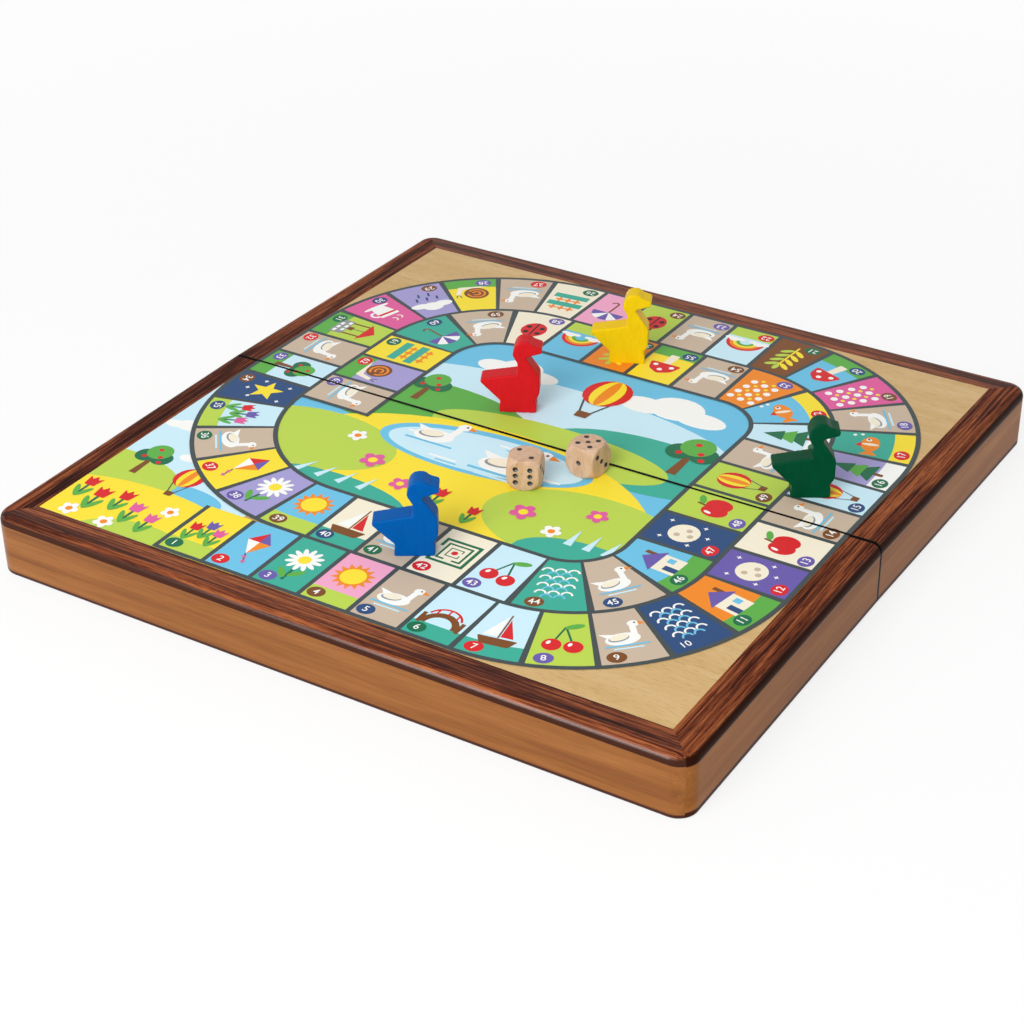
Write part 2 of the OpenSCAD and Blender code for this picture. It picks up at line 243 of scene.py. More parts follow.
wallLook = dict(
    stops=[(0.3, "#7c491f"), (0.46, "#8e5725"), (0.58, "#975f2c"), (0.72, "#a26b37")],
    figure=(210, 8), fibre=(22, 0.7), fibreShare=0.5,
    # by the wall's direction: its sheen, and in mm where the dark tone gathers under the border and over the foot;
    # the Y walls' lower sheen and deeper bands are painted shade
    sheen=dict(X=0.2, Y=0.07), underBorder=dict(X=0.2, Y=0.9), overFoot=dict(X=(2.8, 2.0), Y=(3.8, 3.1)),
    stain="#3c1405", rimFacing=(-0.9, -0.65),  # a face that looks down this far is a rim, which stays clear
)


def stainedWall(along):
    # stained and lacquered softwood: faint straight grain, darker under the border (stain and painted shade) and
    # at the foot (painted shadow)
    look = wallLook
    material, tree, shader = newMaterial(
        f"stained_wood_{along}", Roughness=0.34, Specular_IOR_Level=look["sheen"][along],
    )
    figure = grainNoise(tree, along, *look["figure"], detail=4, warp=0.3)
    fibre = grainNoise(tree, along, *look["fibre"], detail=3)
    colour = addNode(tree, "ShaderNodeValToRGB", {"Fac": figure}, "Color", look["stops"])
    colour = flecked(tree, colour, fibre, look["fibreShare"], (0.3, "#d2c4b8"), (0.6, "#ffffff"))
    foot, top = (heightOf("front_long_wall", front, corner) for corner in (0, 1))
    place = ownPlace(tree)
    height = place[-1]
    # painted shade under the border, over a stain
    colour = gathered(tree, colour, look["stain"], (height, top - look["underBorder"][along] * mm, top))
    normal = addNode(tree, "ShaderNodeTexCoord", out="Normal")
    upward = addNode(tree, "ShaderNodeSeparateXYZ", {"Vector": normal}, "Z")
    # painted contact shadow at the foot, kept off the rim
    low = (foot + reach * mm for reach in look["overFoot"][along])
    colour = gathered(tree, colour, look["stain"], (height, *low), (upward, *look["rimFacing"]))
    # painted shade of the fold's gap along the fold
    tree.links.new(foldDark(tree, colour, *place), shader.inputs["Base Color"])
    ridges = {"Strength": 0.08, "Distance": 0.2 * mm, "Height": fibre}
    tree.links.new(addNode(tree, "ShaderNodeBump", ridges, "Normal"), shader.inputs["Normal"])
    return material


mapleLook = dict(
    stops=[(0.3, "#c9a66d"), (0.5, "#d1ae78"), (0.7, "#d8b887")],
    figure=(90, 9), fleck=(6, 0.6), fleckShare=0.6,
)


def mapleFoil():
    # printed maple under a satin laminate: pale, with short fine flecks along the grain
    look = mapleLook
    material, tree, shader = newMaterial("maple_print_laminate", Roughness=0.38, Specular_IOR_Level=0.12)
    figure = grainNoise(tree, "X", *look["figure"], detail=4, warp=0.4)
    fleck = grainNoise(tree, "X", *look["fleck"], detail=2)
    colour = addNode(tree, "ShaderNodeValToRGB", {"Fac": figure}, "Color", look["stops"])
    colour = flecked(tree, colour, fleck, look["fleckShare"], (0.3, "#d8c6a6"), (0.46, "#ffffff"))
    # painted shade of the fold's gap along the fold
    tree.links.new(foldDark(tree, colour, *ownPlace(tree)), shader.inputs["Base Color"])
    return material


def hardboard():
    # pressed fibre board: dull brown, speckled with short fibres
    material, tree, shader = newMaterial("pressed_hardboard", Roughness=0.75)
    fibre = grainNoise(tree, "X", length=2.5, width=0.8, detail=5, warp=1.2)
    browns = [(0.3, "#84603a"), (0.6, "#b08a5c")]
    colour = addNode(tree, "ShaderNodeValToRGB", {"Fac": fibre}, "Color", browns)
    tree.links.new(colour, shader.inputs["Base Color"])
    ridges = {"Strength": 0.25, "Distance": 0.1 * mm, "Height": fibre}
    tree.links.new(addNode(tree, "ShaderNodeBump", ridges, "Normal"), shader.inputs["Normal"])
    return material


def rolledBrass():
    # rolled and pressed brass: warm and bright, with fine rolling marks along the strip
    material, tree, shader = newMaterial("rolled_brass", Metallic=1)
    marks = grainNoise(tree, "X", length=12, width=0.3, detail=3)
    golds = [(0.3, "#b08a38"), (0.7, "#d6b25e")]
    colour = addNode(tree, "ShaderNodeValToRGB", {"Fac": marks}, "Color", golds)
    rough = addNode(tree, "ShaderNodeMapRange", {"Value": marks, "To Min": 0.22, "To Max": 0.4}, "Result")
    tree.links.new(colour, shader.inputs["Base Color"])
    tree.links.new(rough, shader.inputs["Roughness"])
    return material


def nickelPlate():
    # nickel-plated magnet: grey and bright, with small handling scuffs
    material, tree, shader = newMaterial("nickel_plate", Metallic=1)
    scuff = grainNoise(tree, "X", length=3, width=1.2, detail=5)
    greys = [(0.35, "#a8abae"), (0.65, "#cdd0d3")]
    colour = addNode(tree, "ShaderNodeValToRGB", {"Fac": scuff}, "Color", greys)
    rough = addNode(tree, "ShaderNodeMapRange", {"Value": scuff, "To Min": 0.18, "To Max": 0.42}, "Result")
    tree.links.new(colour, shader.inputs["Base Color"])
    tree.links.new(rough, shader.inputs["Roughness"])
    return material


def pawnPaint(name, colour, deep):
    # satin paint on sawn board: an even coat, a little deeper where the grain shows through
    material, tree, shader = newMaterial(f"satin_paint_{name}", Roughness=0.3, Specular_IOR_Level=0.04)
    grain = grainNoise(tree, "Z", length=11, width=3.4, detail=3, warp=1.2)
    coat = addNode(tree, "ShaderNodeValToRGB", {"Fac": grain}, "Color", [(0.3, deep), (0.6, colour)])
    tree.links.new(coat, shader.inputs["Base Color"])
    ridges = {"Strength": 0.02, "Distance": 0.15 * mm, "Height": grain}
    tree.links.new(addNode(tree, "ShaderNodeBump", ridges, "Normal"), shader.inputs["Normal"])
    return material


def waxedBeech():
    # turned and waxed beech: pale and pinkish, with short brown flecks and a soft sheen
    material, tree, shader = newMaterial("waxed_beech", Roughness=0.42, Specular_IOR_Level=0.12)
    figure = grainNoise(tree, "Z", length=14, width=3.2, detail=3, warp=0.6)
    fleck = grainNoise(tree, "Z", length=2.6, width=0.45, detail=1)
    pinks = [(0.3, "#c59d7f"), (0.5, "#cfaa8d"), (0.7, "#d8b69b")]
    colour = addNode(tree, "ShaderNodeValToRGB", {"Fac": figure}, "Color", pinks)
    colour = flecked(tree, colour, fleck, 0.5, (0.26, "#b8927a"), (0.36, "#ffffff"))
    tree.links.new(colour, shader.inputs["Base Color"])
    return material


def pipPaint():
    # black paint in the drilled pips: dull, thinner in small patches
    material, tree, shader = newMaterial("black_pip_paint", Roughness=0.5)
    thin = grainNoise(tree, "Z", length=1.2, width=1.2, detail=2)
    blacks = [(0.3, "#141314"), (0.7, "#2a2624")]
    colour = addNode(tree, "ShaderNodeValToRGB", {"Fac": thin}, "Color", blacks)
    tree.links.new(colour, shader.inputs["Base Color"])
    return material


def dress(node, material):  # gives a CAD node its finish
    mesh = nodes[node].data
    mesh.materials.clear()
    mesh.materials.append(material)


borderWood = {axis: rosewood(axis) for axis in "XY"}
wallWood = {axis: stainedWall(axis) for axis in "XY"}
maple, board, brass, nickel = mapleFoil(), hardboard(), rolledBrass(), nickelPlate()
for half in halves.values():
    dress(f"{half}_panel", board)
    dress(f"{half}_game_sheet", maple)
    dress(f"{half}_magnets", nickel)
    dress(f"{half}_hinge_screws", brass)
    for piece, axis in (("", "X"), ("left_", "Y"), ("right_", "Y")):
        dress(f"{half}_{piece}border", borderWood[axis])
    for piece, axis in (("long", "X"), ("fold", "X"), ("left", "Y"), ("right", "Y")):
        dress(f"{half}_{piece}_wall", wallWood[axis])
for hand in ("left", "right"):
    for piece in ("front_leaf", "rear_leaf", "pin"):
        dress(f"{hand}_hinge_{piece}", brass)
print("case dressed")


# Pieces made from copies of the CAD solids

weld = 0.002 * mm  # corners this near are one


def mergedCopy(node):  # a CAD node's mesh as one closed skin
    skin = bmesh.new()
    skin.from_mesh(nodes[node].data)
    bmesh.ops.remove_doubles(skin, verts=skin.verts, dist=weld)
    return skin


def finishPiece(name, skin, body, materials, sharpAngle=40):
    for face in skin.faces:
        face.smooth = True
    for edge in skin.edges:
        edge.smooth = not edge.is_manifold or edge.calc_face_angle() < math.radians(sharpAngle)
    mesh = bpy.data.meshes.new(name)
    skin.to_mesh(mesh)
    skin.free()
    for material in materials:
        mesh.materials.append(material)
    piece = bpy.data.objects.new(name, mesh)
    scene.collection.objects.link(piece)
    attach(piece, body)
    return piece


pawns = dict(
    grain=0.4, passes=14, smoothing=0.5,  # the even mesh in mm, and how often and far it is smoothed
    paint=dict(
        red=("#cf1c24", "#c9191f"), yellow=("#eec70f", "#e9c10d"),
        green=("#00482c", "#004329"), blue=("#0058a6", "#00539f"),
    ),
)


def makePawn(colour):
    # the sawn goose with its edges sanded round: an even mesh over the CAD solid, smoothed
    node = f"{colour}_pawn"
    skin = mergedCopy(node)
    mesh = bpy.data.meshes.new("sawn")
    skin.to_mesh(mesh)
    skin.free()
    sawn = bpy.data.objects.new("sawn", mesh)
    scene.collection.objects.link(sawn)
    even = sawn.modifiers.new("even", "REMESH")
    even.mode, even.voxel_size = "VOXEL", pawns["grain"] * mm
    sanded = sawn.modifiers.new("sanded", "SMOOTH")
    sanded.factor, sanded.iterations = pawns["smoothing"], pawns["passes"]
    solid = sawn.evaluated_get(bpy.context.evaluated_depsgraph_get())
    skin = bmesh.new()
    skin.from_mesh(solid.to_mesh())
    bpy.data.objects.remove(sawn)
    bpy.data.meshes.remove(mesh)
    piece = finishPiece(
        f"{colour}_goose", skin, node, [pawnPaint(colour, *pawns["paint"][colour])],
    )
    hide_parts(node)


for colour in pawns["paint"]:
    makePawn(colour)
print("pawns made")

dice = dict(
    pipDepth=0.05, pipReach=7,  # in mm: a face this far under a flat, and this near its middle, is a pip's
    alike=0.9, square=0.1,  # cosines of directions that count as the same, and as square to each other
    cuts=47, passes=5, smoothing=0.5,  # the cube's mesh, and how often and far it is smoothed
    rim=0.19,  # how far a pip's rim draws points to it, in mm
)


def drilledPips(solid, middle, flats):  # each pip's centre, direction, radius and depth in the CAD solid
    pending = {}
    for face in solid.faces:
        normal, reach = max(flats, key=lambda flat: face.normal.dot(flat[0]))
        place = face.calc_center_median() - middle
        low = reach - place.dot(normal)
        aside = (place - normal * place.dot(normal)).length
        if low > dice["pipDepth"] * mm and aside < dice["pipReach"] * mm:
            pending[face] = (normal, reach)
    pips = []
    while pending:
        first = next(iter(pending))
        normal, reach = pending.pop(first)
        group, corners = [first], {}  # a dictionary keeps its order, so each run is the same
        while group:
            face = group.pop()
            corners.update(dict.fromkeys(vertex.co.copy().freeze() for vertex in face.verts))
            for other in [other for edge in face.edges for other in edge.link_faces]:
                if other in pending:
                    del pending[other]
                    group.append(other)
        lows = {corner: reach - (corner - middle).dot(normal) for corner in corners}
        ring = [corner for corner in corners if lows[corner] < dice["pipDepth"] * mm]
        centre = sum(ring, Vector()) / len(ring)
        pips.append((centre, normal, (ring[0] - centre).length, max(lows.values())))
    return pips


def makeDie(node, beech, black):
    # a cube turned to a ball at its corners, with soft rims and the pips dented in and painted
    solid = mergedCopy(node)
    flats = []  # the outward direction and distance of the six faces
    for face in sorted(solid.faces, key=lambda face: -face.calc_area()):
        if all(face.normal.dot(normal) < dice["alike"] for normal, reach in flats) and len(flats) < 6:
            flats.append((face.normal.copy(), face.calc_center_median().dot(face.normal)))
    opposite = [
        next(reach for other, reach in flats if other.dot(normal) < -dice["alike"])
        for normal, reach in flats
    ]
    # half way between opposite faces, where both faces of a pair count
    middle = sum((normal * (reach - far) / 4 for (normal, reach), far in zip(flats, opposite)), Vector())
    edge = flats[0][1] + opposite[0]
    ball = max((vertex.co - middle).length for vertex in solid.verts)
    flats = [(normal, edge / 2) for normal, reach in flats]
    pips = drilledPips(solid, middle, flats)
    solid.free()

    across = next(normal for normal, reach in flats if abs(normal.dot(flats[0][0])) < dice["square"])
    turn = Matrix((flats[0][0], across, flats[0][0].cross(across))).transposed().to_4x4()
    skin = bmesh.new()
    bmesh.ops.create_cube(skin, size=edge, matrix=Matrix.Translation(middle) @ turn)
    bmesh.ops.subdivide_edges(skin, edges=skin.edges[:], cuts=dice["cuts"], use_grid_fill=True)
    for vertex in skin.verts:
        out = vertex.co - middle
        vertex.co = middle + out * min(1, ball / out.length)
    for k in range(dice["passes"]):
        bmesh.ops.smooth_vert(
            skin, verts=skin.verts[:], factor=dice["smoothing"],
            use_axis_x=True, use_axis_y=True, use_axis_z=True,
        )
    dented = set()
    for centre, normal, radius, depth in pips:
        bowl = (radius ** 2 + depth ** 2) / (2 * depth)
        for vertex in skin.verts:
            off = vertex.co - centre
            height = off.dot(normal)
            flat = off - normal * height
            if abs(height) > depth or flat.length > radius + dice["rim"] * mm:
                continue
            dented.add(vertex)
            if flat.length > radius - dice["rim"] * mm:
                vertex.co += flat.normalized() * (radius - flat.length)
            else:
                vertex.co -= normal * (math.sqrt(bowl ** 2 - flat.length_squared) - bowl + depth)
    for face in skin.faces:
        face.material_index = int(all(vertex in dented for vertex in face.verts))
    piece = finishPiece(f"{node}_cube", skin, node, [beech, black])
    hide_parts(node)


beech, black = waxedBeech(), pipPaint()
for node in ("left_die", "right_die"):
    makeDie(node, beech, black)
print("dice made")


# Print: a race track of 63 numbered spaces, with a pond landscape inside it and a meadow at its start

inks = dict(
    tan="#cbb7a1", sky="#6fc3e6", paleSky="#cdeefa", yellow="#fbe23a", lime="#bcd652", leaf="#5fae49",
    teal="#3fae98", forest="#1f6e4a", orange="#f28c28", red="#d9262b", pink="#f3a9c9", rose="#e2619f",
    lilac="#a79fd3", violet="#6c5cab", navy="#2d4d7c", brown="#7d4c25", cream="#f7eed6", white="#fafaf6",
    grey="#93979a", dark="#454e50", black="#1c1a1b",
)
sheet = dict(
    step=0.006, firstLayer=2,  # height of one layer in mm, and the lowest one in use
    seam=0.15, gapShade=0.4,  # in mm: half the fold's gap, and the black strip painted along it as the gap's shade
    touch=1e-5, brink=0.01,  # in mm: how near a point is to count as on a cut, and as at the fold's gap
    start=(-100, -147.4), finish=(-106.4, -19),
    corners=[  # where the track's centre line turns left, and how wide the bend is
        (147.4, -147.4, 88.4), (147.4, 147.4, 88.4), (-147.4, 147.4, 88.4), (-147.4, -106.4, 88.4),
        (106.4, -106.4, 47.4), (106.4, 106.4, 47.4), (-106.4, 106.4, 47.4),
    ],
    lapLegs=7,  # runs and bends in the outer lap
    cells=63, lane=41, line=2.4, ground=10,  # the spaces, and in mm their width, lines and ground
    stride=4.2, bendSteps=4, arcStep=15,  # how finely the track, soft corners and arcs are drawn
    badge=(-7.2, -14.2), badgeSize=(4.5, 3.9), badgeInks=("navy", "forest", "red", "violet", "brown"),
    numerals=5.6, numeralBold=0.04, numeralSteps=3,
    geese=(5, 9, 14, 18, 23, 27, 32, 36, 41, 45, 50, 54, 59, 63),
    special={6: "bridge", 31: "well", 42: "maze"},
)


def printInk(name):
    # printing ink under a satin laminate: an even colour, with a slight ripple in its gloss
    material, tree, shader = newMaterial(
        f"print_ink_{name}", Base_Color=linear(inks[name]), Specular_IOR_Level=0.1,
    )
    ripple = grainNoise(tree, "X", length=1.6, width=1.6, detail=2)
    rough = addNode(tree, "ShaderNodeMapRange", {"Value": ripple, "To Min": 0.32, "To Max": 0.46}, "Result")
    tree.links.new(rough, shader.inputs["Roughness"])
    return material


# Flat shapes, in mm

def at(x, y, size=1, turn=0):
    turned = Matrix.Rotation(math.radians(turn), 4, "Z")
    return Matrix.Translation((x, y, 0)) @ turned @ Matrix.Scale(size, 4)


def oval(x, y, wide, high=None, turn=0, sides=20):
    shape = bmesh.new()
    place = at(x, y, turn=turn) @ Matrix.Diagonal((wide, high or wide, 1, 1))
    bmesh.ops.create_circle(shape, cap_ends=True, segments=sides, radius=1, matrix=place)
    return shape


def patch(soft, *corners):  # a face with its corners rounded by soft
    shape = bmesh.new()
    shape.faces.new([shape.verts.new((*corner, 0)) for corner in corners])
    if soft:
        bmesh.ops.bevel(
            shape, geom=shape.verts[:], offset=soft, offset_type="OFFSET", affect="VERTICES",
            segments=sheet["bendSteps"], profile=0.5, material=-1, clamp_overlap=True,
        )
    return shape


def bar(x1, y1, x2, y2, width):
    shape = bmesh.new()
    run = Vector((x2 - x1, y2 - y1))
    place = at((x1 + x2) / 2, (y1 + y2) / 2, turn=math.degrees(math.atan2(run.y, run.x)))
    place = place @ Matrix.Diagonal((run.length, width, 1, 1))
    bmesh.ops.create_grid(shape, x_segments=1, y_segments=1, size=0.5, matrix=place)
    return shape


def arc(x, y, radius, width, start=0, sweep=180):
    shape = bmesh.new()
    shape.edges.new([shape.verts.new((radius + side * width / 2, 0, 0)) for side in (-1, 1)])
    bmesh.ops.spin(
        shape, geom=shape.verts[:] + shape.edges[:], cent=(0, 0, 0), axis=(0, 0, 1),
        angle=math.radians(sweep), steps=max(sheet["bendSteps"], round(sweep / sheet["arcStep"])),
    )
    bmesh.ops.transform(shape, matrix=at(x, y, turn=start), verts=shape.verts)
    return shape


def petals(x, y, count, reach, wide, high):
    shape = bmesh.new()
    for k in range(count):
        lift = k / count * sheet["step"] / 2  # petals overlap, so each lies a little higher
        away = Matrix.Translation((reach, 0, lift))
        place = at(x, y, turn=360 * k / count) @ away @ Matrix.Diagonal((wide, high, 1, 1))
        bmesh.ops.create_circle(shape, cap_ends=True, segments=12, radius=1, matrix=place)
    return shape


def star(x, y, points, outer, inner, turn=90):
    shape = oval(0, 0, outer, sides=2 * points)
    bmesh.ops.scale(shape, vec=[inner / outer] * 3, verts=list(shape.verts)[1::2])
    bmesh.ops.transform(shape, matrix=at(x, y, turn=turn), verts=shape.verts)
    return shape


def numeral(number):
    data = bpy.data.curves.new("numeral", "FONT")
    data.body, data.size = str(number), sheet["numerals"]
    data.resolution_u, data.offset = sheet["numeralSteps"], sheet["numeralBold"]
    data.align_x, data.align_y = "CENTER", "CENTER"
    written = bpy.data.objects.new("numeral", data)
    mesh = bpy.data.meshes.new_from_object(written)
    shape = bmesh.new()
    shape.from_mesh(mesh)
    bpy.data.objects.remove(written)
    bpy.data.meshes.remove(mesh)
    return shape


# Painting: rows of ink, shape maker and its values, each row one layer above the last

def stamp(art, shape, ink, place, level):
    lift = Matrix.Translation((0, 0, (level + sheet["firstLayer"]) * sheet["step"]))
    bmesh.ops.transform(shape, matrix=lift @ place, verts=shape.verts)
    for face in shape.faces:
        face.material_index = list(inks).index(ink)
    mesh = bpy.data.meshes.new("stamp")
    shape.to_mesh(mesh)
    shape.free()
    art.from_mesh(mesh)
    bpy.data.meshes.remove(mesh)


def paint(art, rows, place=Matrix(), level=0):
    for first, *rest in rows:
        if isinstance(first, str):
            maker, *values = rest
            stamp(art, maker(*values), first, place, level)
            level += 1
        else:  # a group: the places of its copies, which don't overlap, and its rows
            level = max(paint(art, rest[0], place @ copy, level) for copy in first)
    return level


def spots(*places):
    return [at(x, y) for x, y in places]


# Motifs

def tulip(bloom):
    return [
        ("forest", bar, 0, -9, 0, 1, 1.2),
        ("leaf", oval, -1.9, -5, 1.2, 4.2, 24),
        ("leaf", oval, 1.9, -5, 1.2, 4.2, -24),
        (bloom, patch, 0.6, (-2.4, 0), (2.4, 0), (3.4, 6.4), (1.4, 4.4), (0, 7), (-1.4, 4.4),
         (-3.4, 6.4)),
    ]


def blossom(petal, heart):
    return [(petal, petals, 0, 0, 5, 2.2, 1.8, 1.5), (heart, oval, 0, 0, 1.4)]


def cloud(ink):
    puffs = ((-5.4, 0, 4.2, 2.6), (5, -0.2, 4.6, 2.4), (0, 1.4, 4.8, 3.8))
    return [(ink, oval, *puff) for puff in puffs]


appleTree = [
    ("brown", patch, 0, (-1.7, -12), (1.7, -12), (1, 1), (-1, 1)),
    ("forest", oval, -3.8, 2, 4.8), ("forest", oval, 3.8, 2.4, 4.8), ("leaf", oval, 0, 6.4, 5.6),
    (spots((-4, 1), (2.6, 3), (-0.6, 8), (4.4, -0.6)), [("red", oval, 0, 0, 1.1)]),
]
balloon = [
    ("dark", bar, -4.4, -1.5, -1.7, -9, 0.6), ("dark", bar, 4.4, -1.5, 1.7, -9, 0.6),
    ("red", oval, 0, 5, 7.4, 8.4), ("yellow", oval, 0, 5, 4.6, 8.4), ("orange", oval, 0, 5, 1.8, 8.4),
    ("brown", patch, 0.4, (-2, -12), (2, -12), (2.3, -8.4), (-2.3, -8.4)),
]
goose = [  # swimming to the right
    ("white", patch, 0.8, (-5, -3), (-11, 3.6), (-3, 2)),
    ("white", oval, -1.2, -1.6, 8, 4.4, 6),
    ("white", bar, 4.4, -1.4, 5.2, 8.6, 2.9), ("white", oval, 5.9, 8.8, 2.7, 2.3),
    ("orange", patch, 0.3, (8, 10.2), (11.6, 8.4), (8, 7.6)),
    ("grey", oval, -2.8, -0.8, 4.9, 2.5, 12), ("cream", oval, -2.6, -0.2, 4.5, 2.2, 12),
    ("black", oval, 6.6, 9.4, 0.5),
    ("sky", bar, -10.5, -6.4, 9.5, -6.4, 1.1), ("paleSky", bar, -7, -8.6, 6.5, -8.6, 1),
]
night = (
    spots((-7, 12), (7.5, 13), (8.4, -4), (-8.4, -3), (1, -8.6)),
    [("white", star, 0, 0, 4, 1.5, 0.6)],
)

